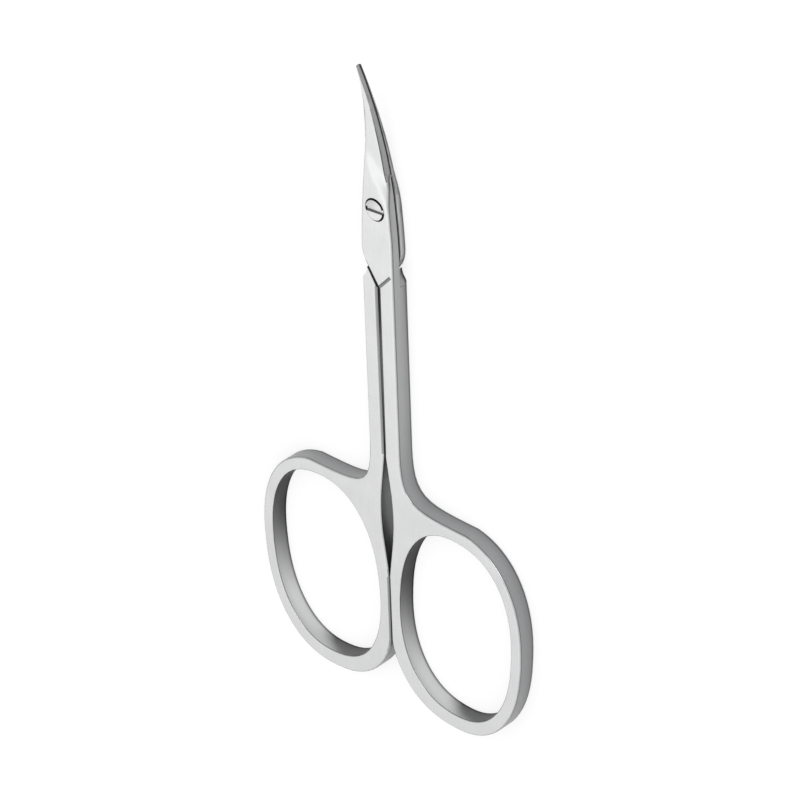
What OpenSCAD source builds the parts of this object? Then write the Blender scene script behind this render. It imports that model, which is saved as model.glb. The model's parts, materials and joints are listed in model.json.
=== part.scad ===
// Cuticle scissors, closed and lying on their back: tips towards +Y, screw head up.
// Both halves are the same forging, one of them turned over. Only their blades are bent alike,
// up and away from the surface that the scissors lie on.

/* [Overall] */
// Thickness of the shanks and rings, and of both joint plates together
thick = 2.7; // [2.4:0.05:3.3]
// Distance from the pivot to the blade tips
blade_len = 21; // [18:0.5:28]
// Distance from the pivot down to the middle of the finger rings
ring_drop = 58; // [52:0.5:72]
// Radius of the rounded edges on shanks and rings
edge_r = 0.3; // [0.1:0.05:0.45]

/* [Blades] */
// Width of the joint plates at their shoulders
plate_w = 5.2; // [4.6:0.1:6]
// Width that the plates keep beside the pivot
root_w = 4.9; // [4.2:0.1:5.4]
// Width that the blades have where their long taper sets in
taper_w = 2.5; // [2:0.1:3.6]
// Distance from the pivot to where that taper sets in
taper_y = 8.5; // [5:0.5:10]
// Distance beyond the pivot up to which the plates keep that width
root_y = 1; // [0:0.2:2]
// Width of the blunt tip
tip_w = 0.22; // [0.2:0.02:0.8]
// Thickness of one blade at the pivot
root_thick = 0.95; // [0.85:0.05:1.15]
// Thickness of one blade at its tip
tip_thick = 0.3; // [0.26:0.02:0.6]
// Fullness of the taper between them, where 1 is a straight taper
blade_full = 1.6; // [1:0.1:2.4]
// Radius of the upward bend of the blades
bend_r = 71; // [55:1:120]
// Width of the bevel along the cutting edge, where the blade is thickest
bevel_w = 0.35; // [0.2:0.05:0.6]
// Height of the narrow land left at the cutting edge
edge_land = 0.1; // [0.06:0.02:0.2]
// Distance from the pivot to the end of the bevel
bevel_start = 4.6; // [4:0.2:7]
// Length over which the bevel runs out
bevel_runout = 0.8; // [0.4:0.1:1.6]
// Thickness that the face loses from the spine to the bevel
face_fall = 0.12; // [0:0.02:0.2]
// Gap between the two blades and between the two joint plates
blade_gap = 0.04; // [0.02:0.01:0.1]
// Distance from the pivot to the middle of the slope from plate to blade, on the front half
front_slope_y = 5.7; // [5:0.1:7]
// Length of that slope
front_slope_len = 3; // [2:0.1:4]
// Slant of that slope, as its fall along the blade for each millimetre across it
front_slope_slant = 1.8; // [0:0.1:2]
// Distance from the pivot to the middle of the slope from plate to blade, on the rear half
rear_slope_y = 2.4; // [2:0.1:5]
// Length of that slope
rear_slope_len = 5.6; // [3:0.1:7]
// Slant of that slope
rear_slope_slant = 0.4; // [0:0.1:1]

/* [Joint] */
// Radius round the pivot in which the plates are flat
flat_r = 3; // [2.8:0.1:4]
// Distance from the pivot down to the point of the V between the shanks
v_drop = 11.3; // [10:0.1:13]
// Height of the V, from its point up to the shoulders of the plate
v_height = 4.3; // [3.6:0.1:5]
// Radius to which the plate's free shoulder is rounded
shoulder_r = 1.2; // [0.6:0.1:1.6]
// Distance from the centre line to the point of each shank's wedge
wedge_x = 1.7; // [1.4:0.05:2]
// Length over which the wedge swells from its point to the shank's side
wedge_len = 2.6; // [2.4:0.1:4]
// Gap between a plate and the wedge of the other half
v_gap = 0.15; // [0.08:0.01:0.3]
// Width of the groove that ends the face of a shank
groove_w = 0.5; // [0.3:0.02:0.6]
// Depth of that groove
groove_depth = 0.2; // [0.1:0.02:0.35]
// Height by which the groove climbs from the point of the V to the shank's side
groove_climb = 2.8; // [2:0.1:3.4]
// Width of the shank's face left whole beyond the groove's end
groove_end = 0.25; // [0.1:0.05:0.5]

/* [Pivot screw] */
// Diameter of the screw head
head_d = 2.8; // [2.6:0.05:3.2]
// Height of the screw head
head_h = 0.75; // [0.5:0.05:0.8]
// Height of the head above the face of the joint
head_proud = 0.2; // [0.05:0.05:0.3]
// Diameter of the shoulder that the front half turns on
shoulder_d = 2.1; // [1.9:0.05:2.3]
// Diameter of the threaded end in the rear half
thread_d = 1.6; // [1.3:0.05:1.8]
// Radial gap round the threaded end
thread_gap = 0.01; // [0.01:0.01:0.03]
// Width of the screwdriver slot
slot_w = 0.52; // [0.3:0.02:0.6]
// Depth of the screwdriver slot
slot_depth = 0.32; // [0.2:0.02:0.4]
// Turn of the slot from the crosswise direction, in degrees
slot_turn = 4; // [-90:1:90]
// Radial gap round the shoulder
turn_gap = 0.03; // [0.02:0.01:0.06]
// Radial gap round the screw head
head_gap = 0.04; // [0.03:0.01:0.1]

/* [Shanks] */
// Distance from the centre line to the outer side of a shank
shank_w = 2.58; // [2.3:0.02:2.9]
// Gap between the shanks at the point of the V
slot_gap = 0.42; // [0.2:0.02:0.6]
// Gap between the shanks where their hollow begins
slot_low = 0.2; // [0.1:0.02:0.4]
// Gap between the closing pads of the rings
pad_gap = 0.04; // [0.02:0.01:0.08]
// Depth of the hollow on the inner side of each shank
hollow_depth = 0.95; // [0.4:0.05:1.1]
// Length of that hollow
hollow_len = 19; // [14:0.5:22]
// Pointedness of the hollow's two ends, where 1 is a plain bow
hollow_point = 1.25; // [1:0.05:1.5]
// Distance from the middle of the rings up to the lower end of the hollow
hollow_low = 3; // [2:0.5:6]
// Length of shank that the sweep into the ring takes up
sweep_len = 7.8; // [5:0.2:12]
// Distance over which that sweep tightens, crosswise
sweep_tight = 1.7; // [1:0.1:3]

/* [Finger rings] */
// Width of a ring's opening
ring_w = 19.1; // [17:0.1:22]
// Length of a ring's opening
ring_l = 27.6; // [24:0.1:32]
// Distance from the centre line to the middle of the opening
ring_x = 11.36; // [10.8:0.02:13.5]
// Width of the ring's band on its outer side
band_w = 1.65; // [1.3:0.05:2.2]
// Width of the ring's band at the shank's end
band_top = 1.85; // [1.4:0.05:2.4]
// Width of the ring's band at its far end
band_foot = 2.15; // [1.4:0.05:2.6]
// Fullness of the ring's outline, where 2 is an ellipse
ring_full = 2.3; // [2:0.05:2.6]
// Outward lean of the rings, in degrees
ring_lean = 3.6; // [0:0.2:6]
// Amount by which the closing pad cuts into the ring's outline
pad_cut = 0.6; // [0.3:0.05:1]
// Radius of the edges round the opening
hole_edge_r = 0.18; // [0.08:0.02:0.3]

/* [Hidden] */
$fn = 96;

steel = [0.80, 0.81, 0.82];
bright_steel = [0.86, 0.87, 0.88];

mid = thick / 2;
half_gap = blade_gap / 2;

// Steps along plate and blade, and rows of points inside their faces
stations = 22;
columns = 5;
// Distance past the point of the V over which those rows run on
row_margin = 2;
// Distance past the shank's side to which the curve of the wedge is drawn
wedge_margin = 0.1;
// Steps round the shoulder and along the wedge, the hollow and the sweep
corner_steps = 4;
wedge_steps = 8;
hollow_steps = 16;
sweep_steps = 12;
// Degrees from point to point round a ring, and where its outline begins, ends and meets the sweep
ring_step = 5;
ring_start = 180;
ring_end = 440;
sweep_start = 84;
// Steps round the ball that shapes the sliding faces
ball_steps = 256;
// Size of the blocks that cut, beyond anything that they cut
reach = 2 * (blade_len + v_drop);

// Plan sizes, with the pivot at the origin
v_point = -v_drop;
shoulder = [plate_w / 2, v_point + v_height];
corner_top = shoulder + [0, shoulder_r];
corner_low = shoulder - shoulder_r * unit([shoulder.x - slot_gap / 2, v_height]);
plate_end = v_point - row_margin;
ring_mid = [ring_x, -ring_drop];
rim_right = ring_x + ring_w / 2 + band_w;
rim_mid = [(rim_right - pad_cut) / 2, (band_top - band_foot) / 2 - ring_drop];
rim_w = (rim_right + pad_cut) / 2;
rim_l = (ring_l + band_top + band_foot) / 2;
pad_x = pad_gap / 2;
hollow_bottom = -ring_drop + hollow_low;
hollow_top = hollow_bottom + hollow_len;

// Quarter round as pairs of inset and height, each as a share of the edge radius
round_steps = [for (a = [0:30:90]) [1 - sin(a), 1 - cos(a)]];
last_step = len(round_steps) - 1;

function unit(v) = v / norm(v);
function between(a, b, t) = a + (b - a) * t;
function ease(t) = let (u = max(0, min(1, t))) u * u * (3 - 2 * u);
function bezier(a, b, c, d, t) =
    (1 - t) ^ 3 * a + 3 * t * (1 - t) ^ 2 * b + 3 * t ^ 2 * (1 - t) * c + t ^ 3 * d;

// Point at an angle on a leaning oval that is a little fuller than an ellipse
function oval(middle, half_w, half_l, angle) = let (
    u = half_w * sign(cos(angle)) * abs(cos(angle)) ^ (2 / ring_full),
    v = half_l * sign(sin(angle)) * abs(sin(angle)) ^ (2 / ring_full)
) middle + [u * cos(ring_lean) + v * sin(ring_lean), v * cos(ring_lean) - u * sin(ring_lean)];

// Height by which the bend lifts a point at a distance from the pivot
function lift(distance) = let (d = max(flat_r, distance))
    sqrt(bend_r ^ 2 - flat_r ^ 2) - sqrt(bend_r ^ 2 - d ^ 2);
function bend_at(p) = p.y > 0 ? lift(norm(p)) : 0;

// Half width and place along the length of the joint plate and blade, from shoulder to tip
function blade_side(t) = bezier(
    corner_top,
    [root_w / 2, root_y],
    [taper_w / 2, taper_y],
    [tip_w / 2, blade_len],
    t
);

// Height of the outer face: the flat of the plate, the slope down from it and the tapering blade.
// A bend of 1 is the front half, and -1 the rear half, which is built the other way up.
function face_z(p, bend) = let (
    slope_y = bend > 0 ? front_slope_y : rear_slope_y,
    slope_len = bend > 0 ? front_slope_len : rear_slope_len,
    slant = bend > 0 ? front_slope_slant : rear_slope_slant,
    ground = ease((p.y + slant * p.x - slope_y) / slope_len + 0.5),
    along = max(0, p.y) / blade_len,
    half_w = between(root_w, tip_w, along) / 2,
    across = max(0, min(1, (p.x / half_w + 1) / 2)),
    blade = between(root_thick, tip_thick, along ^ blade_full) - face_fall * across * (1 - along)
) between(thick, mid + bend * bend_at(p) + blade, ground);

// Underside of the forging before the joint plate and blade are ground to their half thickness
function back_z(p, bend) = bend > 0 ? 0 : -bend_at(p);

// Outline of one forging, anticlockwise from the tip, each point with its edge radius and its
// share of bevel
function side_points(side) = [
    for (i = [0:stations]) let (
        p = blade_side(1 - i / stations),
        bevel = side > 0 ? ease((p.y - bevel_start) / bevel_runout + 0.5) : 0
    ) [side * p.x, p.y, min(edge_r, p.x / 2), bevel]
];
// The free shoulder is rounded, and the other one runs on into the shank
corner_side = [
    for (i = [1:corner_steps])
        between(
            between(corner_top, shoulder, i / corner_steps),
            between(shoulder, corner_low, i / corner_steps),
            i / corner_steps
        )
];
left_side = concat(side_points(-1), [for (p = corner_side) [-p.x, p.y, edge_r, 0]], [
    [slot_gap / 2, v_point, edge_r, 0],
    [slot_gap / 2, plate_end, edge_r, 0]
]);
right_side = concat(
    side_points(1),
    [
        for (p = corner_side)
            let (along = ease((corner_top.y - p.y) / (corner_top.y - v_point)))
                [between(corner_top.x, shank_w, along), p.y, edge_r, 0]
    ],
    [
        [shank_w, v_point, edge_r, 0],
        [shank_w, plate_end, edge_r, 0]
    ]
);
inner_side = [
    for (i = [0:hollow_steps]) let (t = i / hollow_steps) [
        between(slot_low / 2, pad_x, t) + hollow_depth * sin(180 * t) ^ hollow_point,
        between(hollow_top, hollow_bottom, t),
        edge_r,
        0
    ]
];
ring_side = [
    for (a = [ring_start:ring_step:ring_end]) let (p = oval(rim_mid, rim_w, rim_l, a))
        [max(pad_x, p.x), p.y, edge_r, 0]
];
ring_top = oval(rim_mid, rim_w, rim_l, sweep_start);
sweep_corner = [shank_w, ring_top.y];
sweep_side = [
    for (i = [0:sweep_steps]) let (p = bezier(
        ring_top,
        sweep_corner + [sweep_tight, 0],
        sweep_corner,
        sweep_corner + [0, sweep_len],
        i / sweep_steps
    )) [p.x, p.y, edge_r, 0]
];
outline = concat(left_side, inner_side, ring_side, sweep_side, [
    for (i = [len(right_side) - 1:-1:0]) right_side[i]
]);
opening = [
    for (a = [0:ring_step:359])
        concat(oval(ring_mid, ring_w / 2, ring_l / 2, ring_start + a), [hole_edge_r])
];

outline_n = len(outline);
opening_n = len(opening);
ring_n = len(ring_side) - 1;

// The closed scissors are centred on the origin along their length
lowest_y = min([for (p = ring_side) p.y]);
pivot = [0, -(blade_len + lowest_y) / 2];

// Point moved square to the outline, towards its inside
function unit_left(d) = unit([-d.y, d.x]);
function inset(path, i, distance) = let (
    n = len(path),
    here = [path[i].x, path[i].y],
    before = [path[(i + n - 1) % n].x, path[(i + n - 1) % n].y],
    after = [path[(i + 1) % n].x, path[(i + 1) % n].y],
    a = unit_left(here - before),
    b = unit_left(after - here)
) here + distance * (a + b) / (1 + a * b);

// One level of points round the forging and round its opening, at a step of the lower or upper
// rounded edge
function lower_level(step, bend) = concat(
    [for (i = [0:outline_n - 1]) let (
        r = outline[i][2],
        p = inset(outline, i, r * round_steps[step][0])
    ) [p.x, p.y, back_z(p, bend) + r * round_steps[step][1]]],
    [for (i = [0:opening_n - 1]) let (
        p = inset(opening, i, -hole_edge_r * round_steps[step][0])
    ) [p.x, p.y, hole_edge_r * round_steps[step][1]]]
);
function upper_level(step, bend) = concat(
    [for (i = [0:outline_n - 1]) let (
        edge = outline[i],
        r = edge[2],
        bevel = edge[3],
        rise = step / last_step,
        deep = face_z(edge, bend) - mid - bend * bend_at(edge) - edge_land,
        wide = min(bevel_w * deep / root_thick, edge.x),
        p = inset(outline, i, between(r * round_steps[step][0], wide * (1 - rise), bevel)),
        face = face_z(p, bend),
        tall = face - mid - bend * bend_at(p) - edge_land
    ) [p.x, p.y, face - between(r * round_steps[step][1], tall * rise, bevel)]],
    [for (i = [0:opening_n - 1]) let (
        p = inset(opening, i, -hole_edge_r * round_steps[step][0])
    ) [p.x, p.y, thick - hole_edge_r * round_steps[step][1]]]
);

function quad(a, b, c, d) = [[a, b, c], [a, c, d]];
function joined(lists) = [for (list = lists) each list];
function turned(faces) = [for (f = faces) [f[2], f[1], f[0]]];

// Triangles that fill a flat outline, cut off one corner at a time, the shortest cut first
function turn(a, b, c) = (b.x - a.x) * (c.y - a.y) - (b.y - a.y) * (c.x - a.x);
function covers(a, b, c, p) = turn(a, b, p) >= 0 && turn(b, c, p) >= 0 && turn(c, a, p) >= 0;
function corners(points, ids) = [
    for (i = [0:len(ids) - 1]) let (
        trio = [ids[(i + len(ids) - 1) % len(ids)], ids[i], ids[(i + 1) % len(ids)]],
        a = points[trio[0]],
        b = points[trio[1]],
        c = points[trio[2]]
    )
        if (turn(a, b, c) > 1e-6 && len([
            for (k = ids) if (len(search(k, trio)) == 0 && covers(a, b, c, points[k])) k
        ]) == 0) [norm(c - a), i, trio]
];
function filled(points, ids) = len(ids) == 3 ? [ids] : let (
    cuts = corners(points, ids),
    least = min([for (cut = cuts) cut[0]]),
    best = [for (cut = cuts) if (cut[0] == least) cut][0],
    rest = [for (i = [0:len(ids) - 1]) if (i != best[1]) ids[i]]
) concat([best[2]], filled(points, rest));

// The whole forging without its bore: rounded sides, and a face that follows plate and blade
module forging(bend) {
    last = len(left_side) - 1;
    last_row = last * columns;
    first_ring = len(left_side) + len(inner_side);
    level_n = outline_n + opening_n;
    levels = concat(
        [for (k = [0:last_step]) lower_level(k, bend)],
        [for (k = [0:last_step]) upper_level(last_step - k, bend)]
    );
    top = len(levels) - 1;

    // Points inside the back and the face, in rows across plate and blade
    function row_point(level, j, c) =
        between(level[j], level[outline_n - 1 - j], c / (columns + 1));
    back_rows = [
        for (j = [0:last], c = [1:columns]) let (p = row_point(levels[0], j, c))
            [p.x, p.y, back_z(p, bend)]
    ];
    face_rows = [
        for (j = [0:last], c = [1:columns]) let (p = row_point(levels[top], j, c))
            [p.x, p.y, face_z(p, bend)]
    ];
    back_start = len(levels) * level_n;
    face_start = back_start + len(back_rows);
    function row_id(level, start, j, c) =
        c == 0 ? level * level_n + j :
        c > columns ? level * level_n + outline_n - 1 - j : start + j * columns + c - 1;

    // The web between shank and ring, as the one flat stretch that no rows or bands fill
    web = concat(
        [for (i = [last:first_ring]) i],
        [for (i = [opening_n:-1:ring_n]) outline_n + i % opening_n],
        [for (i = [first_ring + ring_n:outline_n - 1 - last]) i],
        [for (c = [columns:-1:1]) level_n + c - 1]
    );
    web_points = concat(levels[0], [for (c = [1:columns]) back_rows[last_row + c - 1]]);
    web_faces = filled([for (p = web_points) [p.x, p.y]], web);

    // Back or face of the forging, anticlockwise from above
    function sheet(level, start) = concat(
        joined([
            for (j = [0:last - 1], c = [0:columns]) quad(
                row_id(level, start, j, c), row_id(level, start, j + 1, c),
                row_id(level, start, j + 1, c + 1), row_id(level, start, j, c + 1)
            )
        ]),
        joined([
            for (i = [0:ring_n - 1]) let (
                rim = level * level_n + first_ring + i,
                hole = level * level_n + outline_n + i
            ) quad(rim, rim + 1, hole + 1, hole)
        ]),
        [for (f = web_faces) [
            for (id = f) id < level_n ? level * level_n + id : start + last_row + id - level_n
        ]]
    );
    rim_wall = joined([
        for (k = [0:top - 1], i = [0:outline_n - 1]) let (
            next = (i + 1) % outline_n,
            low = k * level_n,
            high = low + level_n
        )
            if (i < outline_n - 1 || (k > 0 && k < top - 1))
                quad(low + i, high + i, high + next, low + next)
    ]);
    hole_wall = joined([
        for (k = [0:top - 1], i = [0:opening_n - 1]) let (
            next = (i + 1) % opening_n,
            low = k * level_n + outline_n,
            high = low + level_n
        ) quad(low + i, low + next, high + next, high + i)
    ]);
    tip_wall = concat(
        [for (c = [0:columns]) [
            level_n, row_id(0, back_start, 0, c), row_id(0, back_start, 0, c + 1)
        ]],
        [for (c = [0:columns]) [
            (top - 1) * level_n, row_id(top, face_start, 0, c + 1), row_id(top, face_start, 0, c)
        ]],
        [
            [level_n, outline_n - 1, level_n + outline_n - 1],
            [(top - 1) * level_n, (top - 1) * level_n + outline_n - 1, top * level_n + outline_n - 1]
        ]
    );
    polyhedron(
        points = concat(joined(levels), back_rows, face_rows),
        faces = concat(
            rim_wall, hole_wall, tip_wall, sheet(0, back_start), turned(sheet(top, face_start))
        )
    );
}

// Plan of the room for the other half's plate and blade, down to the shank's own wedge
module plate_room() {
    rise = v_height / (plate_w / 2);
    lower = v_gap * norm([1, rise]);
    point = [wedge_x, v_point + rise * wedge_x - lower];
    foot = [shank_w + wedge_margin, point.y - wedge_len];
    swell = [0, wedge_len / 2];
    past = 2 * shank_w;
    polygon(concat(
        [[-past, v_point - lower], [0, v_point - lower]],
        [for (i = [0:wedge_steps]) bezier(point, point - swell, foot + swell, foot, i / wedge_steps)],
        [[past, foot.y], [past, reach], [-past, reach]]
    ));
}

// Everything on the other half's side of the surface in which the two halves slide: a plane round
// and below the pivot, and along the blades a ball centred on the pivot's axis
module other_side(bend) {
    slide_z = mid + half_gap;
    ball_z = slide_z + bend * sqrt(bend_r ^ 2 - flat_r ^ 2);

    module below() {
        translate([-reach, -reach, slide_z - reach]) cube([2 * reach, 2 * reach, reach]);
    }
    module ball() {
        translate([0, 0, ball_z]) sphere(bend_r, $fn = ball_steps);
    }

    intersection() {
        translate([0, 0, -reach / 4]) linear_extrude(reach / 2) plate_room();
        if (bend > 0) {
            union() {
                below();
                difference() {
                    translate([-reach / 2, 0, -reach / 4]) cube([reach, reach, reach / 2]);
                    ball();
                }
            }
        } else {
            intersection() {
                below();
                union() {
                    translate([-reach / 2, -reach, -reach / 2]) cube(reach);
                    ball();
                }
            }
        }
    }
}

// Groove across the face of a shank, from the point of the V to its outer edge
module v_groove() {
    floor_w = groove_w / 3;
    section = [
        [-groove_w / 2, groove_depth],
        [-floor_w, -groove_depth],
        [floor_w, -groove_depth],
        [groove_w / 2, groove_depth]
    ];
    translate([0, v_point, thick])
        rotate([0, 0, atan2(groove_climb, shank_w)])
            rotate([90, 0, 90])
                linear_extrude(norm([shank_w, groove_climb]) - edge_r - groove_end)
                    polygon(section);
}

// One half with its plate and blade ground to half thickness, before it is bored
module half(bend) {
    difference() {
        forging(bend);
        other_side(bend);
        v_groove();
    }
}

module front_half() {
    color(steel) translate([pivot.x, pivot.y, 0]) difference() {
        half(1);
        translate([0, 0, -thick]) cylinder(d = shoulder_d + 2 * turn_gap, h = 3 * thick);
        translate([0, 0, thick + head_proud - head_h - turn_gap])
            cylinder(d = head_d + 2 * head_gap, h = thick);
    }
}

module rear_half() {
    color(steel) translate([pivot.x, pivot.y, 0]) difference() {
        translate([0, 0, thick]) rotate([0, 180, 0]) half(-1);
        translate([0, 0, -thick]) cylinder(d = thread_d + 2 * thread_gap, h = 3 * thick);
    }
}

module pivot_screw() {
    head_z = thick + head_proud - head_h;
    seat_z = mid - half_gap;
    color(bright_steel) translate([pivot.x, pivot.y, 0]) difference() {
        union() {
            cylinder(d = thread_d, h = head_z);
            translate([0, 0, seat_z]) cylinder(d = shoulder_d, h = head_z - seat_z);
            translate([0, 0, head_z]) cylinder(d = head_d, h = head_h);
        }
        rotate([0, 0, slot_turn])
            translate([-head_d, -slot_w / 2, head_z + head_h - slot_depth])
                cube([2 * head_d, slot_w, head_h]);
    }
}

front_half();
rear_half();
pivot_screw();
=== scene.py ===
"""Cuticle scissors, closed and lying on their back on a pale table, under soft studio light.

Everything is in metres, in the frame of the construction: +Y towards the blade tips, +Z out of the
screw head, the table at the height of 0. The front half is the one round the screw head.
"""
import json
from math import cos, pi, radians

import bmesh
import bpy
from mathutils import Matrix, Vector

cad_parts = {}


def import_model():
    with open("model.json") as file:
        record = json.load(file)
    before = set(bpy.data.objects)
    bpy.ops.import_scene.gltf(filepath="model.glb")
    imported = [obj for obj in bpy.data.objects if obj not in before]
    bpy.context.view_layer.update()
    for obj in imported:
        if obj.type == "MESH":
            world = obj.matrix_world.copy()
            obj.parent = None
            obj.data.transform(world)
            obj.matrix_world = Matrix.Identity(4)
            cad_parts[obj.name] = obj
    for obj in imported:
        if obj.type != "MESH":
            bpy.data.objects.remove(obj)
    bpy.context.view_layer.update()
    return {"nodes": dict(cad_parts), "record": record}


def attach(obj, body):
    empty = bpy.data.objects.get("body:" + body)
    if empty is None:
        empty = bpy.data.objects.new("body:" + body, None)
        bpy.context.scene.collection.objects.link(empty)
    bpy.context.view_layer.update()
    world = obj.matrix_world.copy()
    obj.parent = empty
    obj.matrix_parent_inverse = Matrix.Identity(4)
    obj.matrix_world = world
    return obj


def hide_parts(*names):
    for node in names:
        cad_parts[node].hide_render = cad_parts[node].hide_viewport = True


MM = 0.001

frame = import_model()

# Camera, as if the scissors stood upright on their rings
VIEW_TURN = radians(43.99)
VIEW_HEIGHT = radians(32.95)
VIEW_TILT = radians(-2.06)
VIEW_DISTANCE = 572.3 * MM
VIEW_TARGET = Vector((3.15, 0.077, 2.7)) * MM
LENS = 206.0
NEAR_CLIP = 0.01
FAR_CLIP = 20

# Places in the construction
PIVOT = Vector((0, 26.477, 0)) * MM
BORE_REACH = 2 * MM
THICK = 2.7 * MM
JOINT_END = 15 * MM
WEDGE_END = JOINT_END + MM
BEVEL_START = PIVOT.y + 4.6 * MM
SHOULDER_TOP = 20.5 * MM
RING_MIDDLE = Vector((11.36, -31.523, 0)) * MM
RING_OPENING = Vector((9.55, 13.8)) * MM
RING_TOP = -12 * MM
HOLLOW_TOP = -10 * MM
PAD_TOP = -27.5 * MM
SLOT_REACH = 1 * MM
EDGE_REACH = 1.3 * MM
EDGE_DEPTH = 0.3 * MM
EDGE_FLOOR = 0.005 * MM
GROOVE_LOW = 14.6 * MM
GROOVE_HIGH = 18.5 * MM
GROOVE_REACH = 2.3 * MM
HEAD_ROOM_RIM = THICK - 0.01 * MM
FRONT_SLIDE_FLOOR = 0.3 * THICK
REAR_SLIDE_TOP = 0.9 * THICK

# Limits that sort the faces by how level they are, from 0 for an upright side to 1 for a flat one
SLIDE_LEAST = 0.7
BURR_LEAST = 0.8
EDGE_LEAST = 0.5
EDGE_MOST = 0.99
RING_SIDE_MOST = 0.95
SHOULDER_MOST = 0.8

# Limits by the way a side looks, and the square of the share of a ring's opening that counts as inside
SLOT_SIDE_LEAST = 0.8
SHOULDER_TURN = -0.16
SHOULDER_FADE = 0.12
RING_INSIDE = 1.17

# Steel of the ground faces and the screw. The sides, rings, ring insides and slot sides carry painted
# shade over tumbled steel, the edges painted dark reflection, the groove painted shade, the seam painted
# shadow, and the streak a painted highlight
FACE_STEEL = (0.80, 0.803, 0.807, 1)
RING_FACE_PAINTED_SHADE = (0.68, 0.682, 0.687, 1)
ARRIS_PAINTED_REFLECTION = (0.06, 0.061, 0.062, 1)
BEVEL_PAINTED_REFLECTION = (0.35, 0.352, 0.356, 1)
GROOVE_PAINTED_SHADE = (0.3, 0.302, 0.306, 1)
SIDE_STEEL_PAINTED_SHADE = (0.36, 0.362, 0.366, 1)
RING_SIDE_PAINTED_SHADE = (0.28, 0.282, 0.287, 1)
STREAK_PAINTED_HIGHLIGHT = (0.5, 0.502, 0.506, 1)
INSIDE_PAINTED_SHADE = (0.6, 0.603, 0.608, 1)
SLOT_PAINTED_SHADE = (0.55, 0.552, 0.556, 1)
SEAM_PAINTED_SHADOW = (0.05, 0.049, 0.047, 1)
SCREW_STEEL = (0.80, 0.80, 0.805, 1)
FACE_ROUGH = 0.24
SIDE_ROUGH = 0.36
SLOT_ROUGH = 0.9
SLIDING_ROUGH = 0.2
SCREW_ROUGH = 0.22
ROUGH_SPREAD = (-0.03, 0.04)
SCREW_SPREAD = (SCREW_ROUGH - 0.03, SCREW_ROUGH + 0.04)

# Levelness, from 0 on an upright side to 1 on a level face, over which one painted tone becomes the
# next, from the sides' painted shade through the edge's painted dark reflection line and painted band to
# the face; also the roughness and the screw's painted side shade
ARRIS_LEVEL = (0.02, 0.1)
BEVEL_LEVEL = (0.14, 0.32)
TOP_LEVEL = (0.32, 0.98)
FACE_LEVEL = (0.12, 0.62)
HEAD_LEVEL = (0.5, 0.98)
HEAD_SIDE_SHADE = 0.28

# Stretches along the scissors over which a tone changes: the painted shade of sides and faces, darker
# towards the rings, and the ring insides and slot sides, which carry a lighter painted shade
SHANK_FADE = (1.8 * RING_TOP, 0)
FACE_FADE = (-30 * MM, 45 * MM)
SLOT_FOOT = (RING_TOP, RING_TOP + 6 * MM)
SLOT_HEAD = (6 * MM, 12 * MM)
RING_INSIDE_END = (RING_TOP - 5 * MM, RING_TOP - 4 * MM)

# Heights above the table over which a side's painted shade deepens towards the table, how dark it is at
# the foot of each, and where the painted highlight streak lies
FOOT_HEIGHT = (0.18 * MM, 0.55 * MM)
FOOT_SHADE = 0.3
SIDE_HEIGHT = (0.4 * MM, 1.6 * MM)
SIDE_SHADE = 0.86
STREAK_HEIGHT = (0.55 * MM, 0.9 * MM)

# Slanting stretch of the screw head that is painted darker at its far end, as painted shade
HEAD_SHADE_STRETCH = (PIVOT.y - 0.2 * MM, PIVOT.y + 1.5 * MM)
HEAD_FAR_SHADE = 0.76

# Grain and lines: how fine, how much lighter or darker, and how deep
GRAIN_FINENESS = 4200.0
CLOUD_FINENESS = 260
LINE_FINENESS = 5200.0
LINE_STRETCH = 0.035
NOISE_SPAN = (0.3, 0.7)
CLOUD_SHADES = (0.97, 1.02)
GRAIN_SHADES = (0.98, 1.02)
LINE_SHADES = (0.985, 1.015)
LATHE_SHADES = (0.96, 1.03)
RELIEF_DEPTH = 0.006 * MM
FORGED_RELIEF = 0.12
LATHE_RELIEF = 0.2
# Reach of the painted shade in tight corners, on the halves and on the screw
CORNER_REACH = 0.3 * MM
SCREW_CORNER_REACH = 0.2 * MM

# Broken edges, and the painted shadow and painted dark reflection lines that tone them
WELD = 0.006 * MM
SHORTEST = 0.03 * MM
FLAT_ANGLE = radians(0.5)
CRISP_ANGLE = radians(38)
FRONT_SEAM = 0.06 * MM
REAR_SEAM = 0.24 * MM
REAR_BLADE_SEAM = 0.17 * MM
REAR_SEAM_SHADOW_SHARE = 0.4
SCREW_BREAK = 0.1 * MM
HEAD_ROOM_BREAK = 0.15 * MM
BURR = 0.08 * MM
BURR_REFLECTION_SHARE = 0.85
BURR_END = 43 * MM
BURR_FADE = 7 * MM
SHOULDER_SHADOW_SHARE = 0.55

# Studio
TABLE_REACH = 3
TABLE_PAINT = (0.93, 0.93, 0.93, 1)
TABLE_MIRRORED = 0.22
TABLE_WHITE = 0.75
FLAG_REACH = 0.8
FLAG_HEIGHT = 0.14
FLAG_BLACK = (0.03, 0.03, 0.03, 1)
LEFT_CARD_START = 4.6 * MM
RIGHT_CARD_START = 3 * MM
CARD_HEIGHT = 0.02 * MM
CARD_SIZE = Vector((1.07 * RING_OPENING.x, 1.06 * RING_OPENING.y, 1))
CARD_RISE = (0, 13 * MM)
CARD_EDGE = (-3.4 * MM, -1.4 * MM)
CARD_EDGE_SHADES = (1, 0.17)
CARD_LEAST = 0.09
SKY_LEAN = (0.6, 0.6, 0.5)
SKY_SHADES = (0.2, 1.6)
LAMP_DISTANCE = 0.9
LAMP_SIZE = 0.5


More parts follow.
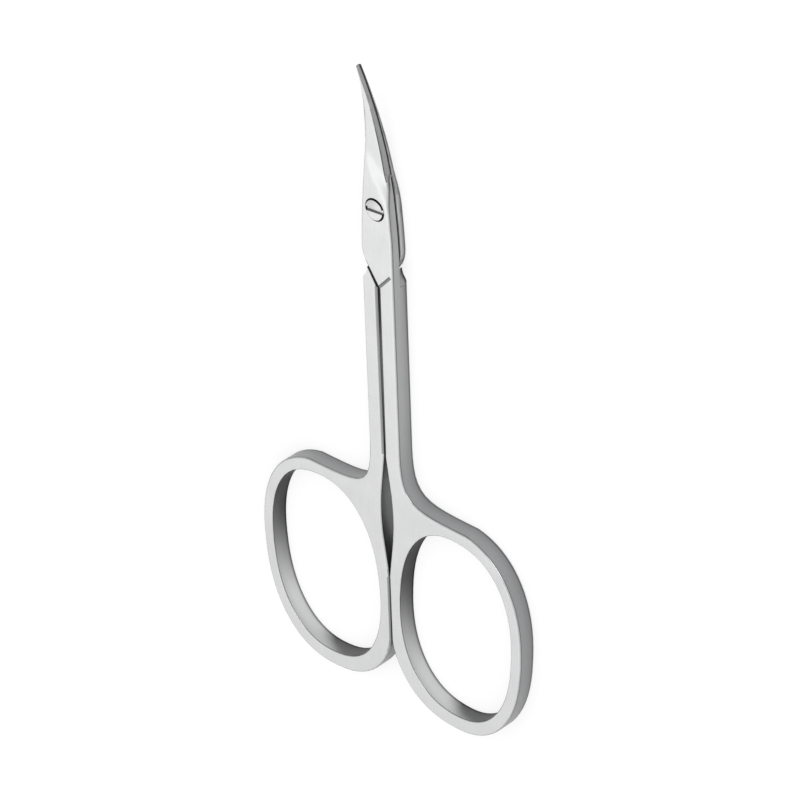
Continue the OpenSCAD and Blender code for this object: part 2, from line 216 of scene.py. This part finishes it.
class Recipe:
    """Node tree of a finish, a shared effect or the sky, with short ways to add its nodes."""

    def __init__(self, tree):
        self.nodes = tree.nodes
        self.links = tree.links

    def add(self, kind, inputs, **settings):
        """New node. Each input gets a value of its own or the output of another node."""
        node = self.nodes.new(kind)
        for name, value in settings.items():
            setattr(node, name, value)
        for key, value in inputs.items():
            if isinstance(value, bpy.types.NodeSocket):
                self.links.new(value, node.inputs[key])
            else:
                node.inputs[key].default_value = value
        return node

    def math(self, operation, *values, clamp=False):
        inputs = dict(enumerate(values))
        return self.add("ShaderNodeMath", inputs, operation=operation, use_clamp=clamp).outputs[0]

    def product(self, first, *others):
        for other in others:
            first = self.math("MULTIPLY", first, other)
        return first

    def ramp(self, value, span, ends=(0, 1)):
        """Value carried from one span over to another, and held at its ends."""
        node = self.add("ShaderNodeMapRange", {
            "Value": value, "From Min": span[0], "From Max": span[1],
            "To Min": ends[0], "To Max": ends[1],
        })
        return node.outputs["Result"]

    def mixed(self, factor, first, second, kind="FLOAT"):
        """First where the factor is 0 and second where it is 1."""
        inputs = {"Factor": factor, "A": first, "B": second}
        return self.add("ShaderNodeMix", inputs, data_type=kind).outputs["Result"]

    def toned(self, factor, first, second):
        """First colour where the factor is 0 and second where it is 1."""
        return self.mixed(factor, first, second, "RGBA")

    def shaded(self, tone, shade):
        if isinstance(tone, tuple):
            tone = tone[:3]
        inputs = {0: tone, "Scale": shade}
        return self.add("ShaderNodeVectorMath", inputs, operation="SCALE").outputs["Vector"]

    def vector(self, operation, first, second):
        inputs = {0: first, 1: second}
        return self.add("ShaderNodeVectorMath", inputs, operation=operation).outputs["Vector"]

    def noise(self, inputs, **settings):
        return self.add("ShaderNodeTexNoise", inputs, **settings).outputs["Fac"]

    def mask(self, name):
        """Mark that the faces or corners of a mesh carry."""
        return self.add("ShaderNodeAttribute", {}, attribute_name=name).outputs["Fac"]

    def parts(self, vector):
        return self.add("ShaderNodeSeparateXYZ", {"Vector": vector}).outputs

    def levelness(self, place):
        """1 on faces that lie flat on the table or face up from it, 0 on upright sides."""
        return self.math("ABSOLUTE", self.parts(place.outputs["Normal"])["Z"])

    def effect(self, made, place):
        """A shared effect, on the piece's own coordinates."""
        return self.add("ShaderNodeGroup", {"Place": place.outputs["Object"]}, node_tree=made).outputs


def material(name):
    made = bpy.data.materials.new(name)
    made.use_nodes = True
    return made, Recipe(made.node_tree)


def shared_effect(name, inputs, outputs):
    """Empty node group, with its recipe, what it is given and where its results go."""
    made = bpy.data.node_groups.new(name, "ShaderNodeTree")
    for socket, kind, value in inputs:
        item = made.interface.new_socket(socket, in_out="INPUT", socket_type=kind)
        if value is not None:
            item.default_value = value
    for socket in outputs:
        made.interface.new_socket(socket, in_out="OUTPUT", socket_type="NodeSocketFloat")
    given = made.nodes.new("NodeGroupInput").outputs
    result = made.nodes.new("NodeGroupOutput").inputs
    return made, Recipe(made), given, result


def satin_grain():
    """Fine even grain of tumbled steel, with the slow unevenness of a hand finish over it."""
    made, recipe, given, result = shared_effect(
        "satin_grain",
        [("Place", "NodeSocketVector", None), ("Grain", "NodeSocketFloat", GRAIN_FINENESS)],
        ["Grain", "Cloud"],
    )
    place = given["Place"]
    fine = recipe.noise({"Vector": place, "Scale": given["Grain"], "Detail": 3, "Roughness": 0.65})
    slow = recipe.noise({"Vector": place, "Scale": CLOUD_FINENESS, "Detail": 4})
    recipe.links.new(fine, result["Grain"])
    recipe.links.new(slow, result["Cloud"])
    return made


def grinding_lines():
    """Lines that a belt leaves along a face, or in arcs round the pivot on the sliding faces."""
    made, recipe, given, result = shared_effect(
        "grinding_lines",
        [("Place", "NodeSocketVector", None), ("Pivot", "NodeSocketVector", PIVOT),
         ("Fineness", "NodeSocketFloat", LINE_FINENESS)],
        ["Along", "Arcs"],
    )
    long_way = recipe.add("ShaderNodeMapping", {"Vector": given["Place"], "Scale": (1, LINE_STRETCH, 1)})
    belt = recipe.noise({"Vector": long_way.outputs["Vector"], "Scale": given["Fineness"], "Detail": 2})
    away = recipe.vector("SUBTRACT", given["Place"], given["Pivot"])
    flat = recipe.vector("MULTIPLY", away, (1, 1, 0))
    reach = recipe.add("ShaderNodeVectorMath", {0: flat}, operation="LENGTH").outputs["Value"]
    wheel = recipe.noise({"W": reach, "Scale": given["Fineness"], "Detail": 3}, noise_dimensions="1D")
    recipe.links.new(belt, result["Along"])
    recipe.links.new(wheel, result["Arcs"])
    return made


GRAIN = satin_grain()
LINES = grinding_lines()


def bare_metal(recipe, tone, corner_reach, rough, relief, strength):
    """Feeds the metal's shader. Its tone is darker in tight corners, as painted shade."""
    shader = recipe.nodes["Principled BSDF"]
    shader.inputs["Metallic"].default_value = 1
    corner_shade = recipe.add("ShaderNodeAmbientOcclusion", {"Color": tone, "Distance": corner_reach}, samples=8)
    recipe.links.new(corner_shade.outputs["Color"], shader.inputs["Base Color"])
    recipe.links.new(rough, shader.inputs["Roughness"])
    bump = recipe.add("ShaderNodeBump", {
        "Height": relief, "Strength": strength, "Distance": RELIEF_DEPTH,
    })
    recipe.links.new(bump.outputs["Normal"], shader.inputs["Normal"])


def forged_steel():
    """Satin steel of the halves: ground faces, tumbled sides in painted shade, painted reflection on the
    edges, painted shade and shadow in groove, corners and seam, arcs on the sliding faces.
    """
    made, recipe = material("forged_steel")
    place = recipe.add("ShaderNodeTexCoord", {})
    at = recipe.parts(place.outputs["Object"])
    level = recipe.levelness(place)
    grain = recipe.effect(GRAIN, place)
    lines = recipe.effect(LINES, place)
    sliding = recipe.mask("sliding")

    # Insides of the rings, and sides of the slot, which fade out towards the rings, with a lighter
    # painted shade than the outer sides
    slot_foot = recipe.ramp(at["Y"], SLOT_FOOT)
    in_slot = recipe.product(slot_foot, recipe.ramp(at["Y"], SLOT_HEAD, (1, 0)))
    in_rings = recipe.ramp(at["Y"], RING_INSIDE_END, (1, 0))
    inside = recipe.product(recipe.mask("inside"), recipe.math("MAXIMUM", slot_foot, in_rings))
    inner = recipe.toned(in_slot, INSIDE_PAINTED_SHADE, SLOT_PAINTED_SHADE)

    # Sides, tumbled steel in painted shade that is darker towards the table and towards the rings, with
    # the painted highlight streak under the seam of the rear half
    side = recipe.toned(recipe.ramp(at["Y"], SHANK_FADE), RING_SIDE_PAINTED_SHADE, SIDE_STEEL_PAINTED_SHADE)
    side = recipe.toned(inside, side, inner)
    side = recipe.shaded(side, recipe.product(
        recipe.ramp(at["Z"], FOOT_HEIGHT, (FOOT_SHADE, 1)),
        recipe.ramp(at["Z"], SIDE_HEIGHT, (SIDE_SHADE, 1))))
    streak = recipe.product(recipe.mask("streak"), recipe.ramp(at["Z"], STREAK_HEIGHT))
    side = recipe.toned(streak, side, STREAK_PAINTED_HIGHLIGHT)

    # Over the rounded edge up to the face, through a painted dark reflection line and a painted
    # reflection band, then the face, painted darker towards the rings; then painted shade in the groove
    # and painted shadow in the seam
    edge = recipe.toned(recipe.ramp(level, ARRIS_LEVEL), side, ARRIS_PAINTED_REFLECTION)
    edge = recipe.toned(recipe.ramp(level, BEVEL_LEVEL), edge, BEVEL_PAINTED_REFLECTION)
    top = recipe.toned(recipe.ramp(at["Y"], FACE_FADE), RING_FACE_PAINTED_SHADE, FACE_STEEL)
    tone = recipe.toned(recipe.ramp(level, TOP_LEVEL), edge, top)
    tone = recipe.toned(recipe.mask("groove"), tone, GROOVE_PAINTED_SHADE)
    tone = recipe.toned(recipe.mask("seam"), tone, SEAM_PAINTED_SHADOW)

    belt = recipe.mixed(sliding, lines["Along"], lines["Arcs"])
    shade = recipe.product(
        recipe.ramp(grain["Cloud"], NOISE_SPAN, CLOUD_SHADES),
        recipe.ramp(grain["Grain"], NOISE_SPAN, GRAIN_SHADES),
        recipe.ramp(belt, NOISE_SPAN, LINE_SHADES))

    rough = recipe.mixed(recipe.ramp(level, FACE_LEVEL), SIDE_ROUGH, FACE_ROUGH)
    rough = recipe.mixed(recipe.product(inside, in_slot), rough, SLOT_ROUGH)
    rough = recipe.mixed(sliding, rough, SLIDING_ROUGH)
    uneven = recipe.ramp(grain["Cloud"], NOISE_SPAN, ROUGH_SPREAD)
    bare_metal(
        recipe, recipe.shaded(tone, shade), CORNER_REACH,
        recipe.math("ADD", rough, uneven, clamp=True),
        recipe.math("ADD", grain["Grain"], belt), FORGED_RELIEF)
    return made


def screw_steel():
    """Turned screw with fine rings from the lathe, its sides and the far end of its head painted darker
    as shade.
    """
    made, recipe = material("screw_steel")
    place = recipe.add("ShaderNodeTexCoord", {})
    at = recipe.parts(place.outputs["Object"])
    grain = recipe.effect(GRAIN, place)
    lines = recipe.effect(LINES, place)
    slanting = recipe.math("SUBTRACT", at["Y"], at["X"])
    shade = recipe.product(
        recipe.ramp(recipe.levelness(place), HEAD_LEVEL, (HEAD_SIDE_SHADE, 1)),
        recipe.ramp(lines["Arcs"], NOISE_SPAN, LATHE_SHADES),
        recipe.ramp(slanting, HEAD_SHADE_STRETCH, (1, HEAD_FAR_SHADE)))
    bare_metal(
        recipe, recipe.shaded(SCREW_STEEL, shade), SCREW_CORNER_REACH,
        recipe.ramp(grain["Cloud"], NOISE_SPAN, SCREW_SPREAD),
        lines["Arcs"], LATHE_RELIEF)
    return made


def even_normals(data):
    """Shades each corner by the faces round it that turn away by less than a crisp edge does."""
    limit = cos(CRISP_ANGLE)
    around = [[] for _ in data.vertices]
    for face in data.polygons:
        face.use_smooth = True
        for vertex in face.vertices:
            around[vertex].append(face)
    normals = []
    for face in data.polygons:
        for vertex in face.vertices:
            total = Vector()
            for other in around[vertex]:
                if other.normal.dot(face.normal) > limit:
                    total += other.normal * other.area
            normals.append(total.normalized() if total.length else face.normal)
    data.normals_split_custom_set(normals)


def object_from(mesh, name, finish):
    """Object made of a bmesh, in one material."""
    data = bpy.data.meshes.new(name)
    mesh.to_mesh(data)
    mesh.free()
    data.materials.append(finish)
    made = bpy.data.objects.new(name, data)
    bpy.context.scene.collection.objects.link(made)
    return made


def merged(node):
    """Copy of a node of the construction with its triangles merged into whole faces."""
    mesh = bmesh.new()
    mesh.from_mesh(frame["nodes"][node].data)
    bmesh.ops.remove_doubles(mesh, verts=mesh.verts, dist=WELD)
    bmesh.ops.dissolve_limit(
        mesh, angle_limit=FLAT_ANGLE, use_dissolve_boundaries=False,
        verts=mesh.verts, edges=mesh.edges, delimit=set(),
    )
    bmesh.ops.collapse(mesh, edges=[e for e in mesh.edges if e.calc_length() < SHORTEST], uvs=False)
    return mesh


def round_off(mesh, edges, width, segments=3, loop_slide=True):
    """Rounds edges and returns the faces that this makes."""
    return bmesh.ops.bevel(
        mesh, geom=edges, offset=width, offset_type="OFFSET", affect="EDGES", segments=segments,
        profile=0.5, material=-1, clamp_overlap=False, loop_slide=loop_slide,
    )["faces"]


def crisp_edges(mesh):
    return [
        edge for edge in mesh.edges
        if len(edge.link_faces) == 2 and edge.is_convex and edge.calc_face_angle() > CRISP_ANGLE
    ]


def middle(edge):
    return (edge.verts[0].co + edge.verts[1].co) / 2


def held(share):
    """Share held between 0 and 1."""
    return min(1, max(0, share))


def slides(face, front):
    """True for the faces of plate and blade that lie on the other half."""
    place = face.calc_center_median()
    if place.y < JOINT_END or abs(face.normal.z) < SLIDE_LEAST or (face.normal.z < 0) != front:
        return False
    if front:
        return place.z > FRONT_SLIDE_FLOOR
    return place.z < REAR_SLIDE_TOP or place.y > BEVEL_START


def groove_share(face):
    """Share of painted shade: 1 for the groove that ends the face of a shank and for the edges along the
    slot and the closing pads, fading where the rings part."""
    place = face.calc_center_median()
    level = abs(face.normal.z)
    if not EDGE_FLOOR < min(place.z, THICK - place.z) < EDGE_DEPTH:
        return 0
    if GROOVE_LOW < place.y < GROOVE_HIGH and abs(place.x) < GROOVE_REACH:
        return float(level > EDGE_LEAST)
    if PAD_TOP < place.y < HOLLOW_TOP or place.y > WEDGE_END or not EDGE_LEAST < level < EDGE_MOST:
        return 0
    return held((EDGE_REACH - abs(place.x)) / SLOT_REACH)


def looks_inwards(face):
    """True for the inside of a finger ring and the sides of the slot between the shanks."""
    place = face.calc_center_median()
    if RING_TOP < place.y < WEDGE_END and abs(place.x) < SLOT_REACH:
        if abs(face.normal.x) > SLOT_SIDE_LEAST:
            return True
    across = (abs(place.x) - RING_MIDDLE.x) / RING_OPENING.x
    along = (place.y - RING_MIDDLE.y) / RING_OPENING.y
    return across * across + along * along < RING_INSIDE and abs(face.normal.z) < RING_SIDE_MOST


def under_seam(face):
    """True for the rear half's own side below the seam, from the shoulder to the blade tip, which
    carries a painted highlight streak and, on the shoulder, painted shadow.
    """
    place = face.calc_center_median()
    return place.y > JOINT_END and place.z < THICK / 2 and place.x > 0


def shoulder_shadow_share(face):
    """Share of painted shadow on the rear plate's shoulder, growing as its side turns away to the rings.
    """
    if face.calc_center_median().y >= SHOULDER_TOP or abs(face.normal.z) >= SHOULDER_MOST:
        return 0
    return SHOULDER_SHADOW_SHARE * held((SHOULDER_TURN - face.normal.y) / SHOULDER_FADE)


def on_cutting_side(place, front):
    return place.y > BEVEL_START and (place.x > 0) == front


def round_bore(edge):
    """True for the edges of the holes round the pivot."""
    return (middle(edge) - PIVOT).xy.length < BORE_REACH


def break_seam(mesh, front, shade_mark):
    """Breaks the edges between the halves, except the cutting edge, and marks the new faces with painted
    shadow. The rear half's wide break shows as the dark line of the seam, and is finer along the blade."""
    seam = [
        edge for edge in crisp_edges(mesh)
        if any(slides(face, front) for face in edge.link_faces)
        and not round_bore(edge) and not on_cutting_side(middle(edge), front)
    ]
    if front:
        for face in round_off(mesh, seam, FRONT_SEAM):
            face[shade_mark] = 1
        return
    plate = [edge for edge in seam if middle(edge).y <= BEVEL_START]
    blade = [edge for edge in seam if middle(edge).y > BEVEL_START]
    for face in round_off(mesh, plate, REAR_SEAM):
        face[shade_mark] = held(REAR_SEAM_SHADOW_SHARE + abs(face.normal.z))
    for face in round_off(mesh, [edge for edge in blade if edge.is_valid], REAR_BLADE_SEAM):
        face[shade_mark] = 1


def raise_burr(mesh, front, shade_mark):
    """Rounds the edge between a blade's face and its ground bevel, and marks it with a painted dark
    reflection line that fades to the tip.
    """
    burr = [
        edge for edge in crisp_edges(mesh)
        if on_cutting_side(middle(edge), front) and middle(edge).y < BURR_END
        and max(abs(face.normal.z) for face in edge.link_faces) > BURR_LEAST
        and not any(slides(face, front) for face in edge.link_faces)
    ]
    for face in round_off(mesh, burr, BURR, segments=2):
        face[shade_mark] = min(BURR_REFLECTION_SHARE, (BURR_END - face.calc_center_median().y) / BURR_FADE)


def break_head_room(mesh, shade_mark):
    """Breaks the rim of the counterbore and marks it with painted shadow, which outlines the screw head.
    """
    rim = [
        edge for edge in crisp_edges(mesh)
        if round_bore(edge) and edge.verts[0].co.z > HEAD_ROOM_RIM
    ]
    for face in round_off(mesh, rim, HEAD_ROOM_BREAK, loop_slide=False):
        face[shade_mark] = 1


def finished(node, mesh, finish):
    bmesh.ops.triangulate(mesh, faces=mesh.faces, quad_method="BEAUTY", ngon_method="BEAUTY")
    piece = object_from(mesh, node + "_finished", finish)
    even_normals(piece.data)
    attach(piece, BODY[node])
    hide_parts(node)


def half(node, finish):
    """One forging, with its edges broken and the marks that its finish reads."""
    front = node == "front_half"
    mesh = merged(node)
    marks = mesh.faces.layers.float
    painted_shade_mark = marks.new("seam")
    sliding_mark = marks.new("sliding")
    inside_mark = marks.new("inside")
    groove_mark = marks.new("groove")
    streak_mark = marks.new("streak")
    break_seam(mesh, front, painted_shade_mark)
    raise_burr(mesh, front, painted_shade_mark)
    break_head_room(mesh, painted_shade_mark)
    for face in mesh.faces:
        face[sliding_mark] = slides(face, front)
        face[inside_mark] = looks_inwards(face)
        face[groove_mark] = groove_share(face)
        # The rear half's side below the seam gets a painted highlight streak, and its shoulder painted
        # shadow
        if not front and under_seam(face):
            face[streak_mark] = 1
            face[painted_shade_mark] = face[painted_shade_mark] or shoulder_shadow_share(face)
    finished(node, mesh, finish)


def screw(node, finish):
    mesh = merged(node)
    round_off(mesh, crisp_edges(mesh), SCREW_BREAK)
    finished(node, mesh, finish)


BODY = {
    node: body for body, members in frame["record"]["behaviour"]["bodies"].items() for node in members
}
steel = forged_steel()
half("front_half", steel)
half("rear_half", steel)
screw("pivot_screw", screw_steel())


def background_rays(recipe, mirrored):
    """Share of white background for what the camera sees straight or through glass, which is 1,
    and for what steel mirrors."""
    path = recipe.add("ShaderNodeLightPath", {}).outputs
    in_steel = recipe.product(path["Is Glossy Ray"], mirrored)
    seen = recipe.math("MAXIMUM", path["Is Camera Ray"], in_steel)
    return recipe.math("MAXIMUM", seen, path["Is Transmission Ray"])


def table():
    """Pale table, partly white by itself where the camera or the steel sees it."""
    made, recipe = material("table")
    recipe.nodes.remove(recipe.nodes["Principled BSDF"])
    matt = recipe.add("ShaderNodeBsdfDiffuse", {"Color": TABLE_PAINT})
    white = recipe.add("ShaderNodeEmission", {"Strength": 1})
    share = recipe.product(background_rays(recipe, TABLE_MIRRORED), TABLE_WHITE)
    mix = recipe.add("ShaderNodeMixShader", {0: share, 1: matt.outputs[0], 2: white.outputs[0]})
    recipe.links.new(mix.outputs[0], recipe.nodes["Material Output"].inputs["Surface"])
    mesh = bmesh.new()
    bmesh.ops.create_grid(mesh, x_segments=1, y_segments=1, size=TABLE_REACH)
    top = object_from(mesh, "table", made)


def flags():
    """Dark cards round the table, which draw the edges of polished steel."""
    made, recipe = material("black_card")
    shader = recipe.nodes["Principled BSDF"]
    shader.inputs["Base Color"].default_value = FLAG_BLACK
    shader.inputs["Roughness"].default_value = 1
    shader.inputs["Specular IOR Level"].default_value = 0
    mesh = bmesh.new()
    bmesh.ops.create_cone(mesh, segments=64, radius1=FLAG_REACH, radius2=FLAG_REACH, depth=FLAG_HEIGHT)
    bmesh.ops.translate(mesh, verts=mesh.verts, vec=(0, 0, FLAG_HEIGHT / 2))
    card = object_from(mesh, "flags", made)
    card.visible_camera = False
    card.visible_diffuse = False
    card.visible_shadow = False


def ring_cards():
    """Glowing cards on the table inside the rings, bright at one corner only, seen only in the steel,
    where they paint the reflections on the insides of the rings.
    """
    made, recipe = material("ring_card")
    recipe.nodes.remove(recipe.nodes["Principled BSDF"])
    down = recipe.ramp(recipe.mask("along"), CARD_RISE)
    left = recipe.ramp(recipe.mask("across"), CARD_EDGE, CARD_EDGE_SHADES)
    bright = recipe.math("MULTIPLY_ADD", down, down, CARD_LEAST)
    glow = recipe.add("ShaderNodeEmission", {"Strength": recipe.product(bright, left)})
    recipe.links.new(glow.outputs[0], recipe.nodes["Material Output"].inputs["Surface"])
    mesh = bmesh.new()
    across = mesh.verts.layers.float.new("across")
    along = mesh.verts.layers.float.new("along")
    for side, start in ((-1, LEFT_CARD_START), (1, RIGHT_CARD_START)):
        disc = bmesh.ops.create_circle(mesh, cap_ends=True, segments=48, radius=1)["verts"]
        bmesh.ops.scale(mesh, verts=disc, vec=CARD_SIZE)
        for vert in disc:
            vert[across] = vert.co.x
            vert[along] = start - vert.co.y
        place = Vector((side * RING_MIDDLE.x, RING_MIDDLE.y, CARD_HEIGHT))
        bmesh.ops.translate(mesh, verts=disc, vec=place)
    cards = object_from(mesh, "ring_cards", made)
    cards.visible_camera = False
    cards.visible_diffuse = False
    cards.visible_transmission = False
    cards.visible_shadow = False


def world():
    """White behind everything, and soft light that grows from one side to the other."""
    sky = bpy.data.worlds.new("studio")
    sky.use_nodes = True
    recipe = Recipe(sky.node_tree)
    back = recipe.nodes["Background"]
    back.inputs["Color"].default_value = (1, 1, 1, 1)
    place = recipe.add("ShaderNodeTexCoord", {})
    lean = {0: place.outputs["Generated"], 1: SKY_LEAN}
    dot = recipe.add("ShaderNodeVectorMath", lean, operation="DOT_PRODUCT")
    soft = recipe.ramp(dot.outputs["Value"], (-1, 1), SKY_SHADES)
    strength = recipe.mixed(background_rays(recipe, 1), soft, 1)
    recipe.links.new(strength, back.inputs["Strength"])
    bpy.context.scene.world = sky


def softbox(name, direction, radiance):
    lamp = bpy.data.lights.new(name, "AREA")
    lamp.shape = "SQUARE"
    lamp.size = LAMP_SIZE
    lamp.energy = radiance * pi * LAMP_SIZE * LAMP_SIZE
    box = bpy.data.objects.new(name, lamp)
    bpy.context.scene.collection.objects.link(box)
    place = Vector(direction).normalized() * LAMP_DISTANCE
    box.matrix_world = Matrix.Translation(place) @ place.to_track_quat("Z", "Y").to_matrix().to_4x4()


def camera():
    data = bpy.data.cameras.new("camera")
    data.sensor_width = 36
    data.lens = LENS
    data.clip_start = NEAR_CLIP
    data.clip_end = FAR_CLIP
    eye = bpy.data.objects.new("camera", data)
    bpy.context.scene.collection.objects.link(eye)
    laid_down = Matrix.Rotation(radians(-90), 4, "X")
    aim = (
        Matrix.Rotation(VIEW_TURN, 4, "Z")
        @ Matrix.Rotation(radians(90) - VIEW_HEIGHT, 4, "X")
        @ Matrix.Rotation(VIEW_TILT, 4, "Z")
    )
    away = Matrix.Translation((0, 0, VIEW_DISTANCE))
    eye.matrix_world = Matrix.Translation(VIEW_TARGET) @ laid_down @ aim @ away
    bpy.context.scene.camera = eye


table()
flags()
ring_cards()
world()
softbox("side", (0.66, 0.62, 0.42), radiance=2)
softbox("overhead", (-0.25, -0.38, 0.89), radiance=0.2)
camera()
bpy.context.scene.view_settings.view_transform = "Standard"
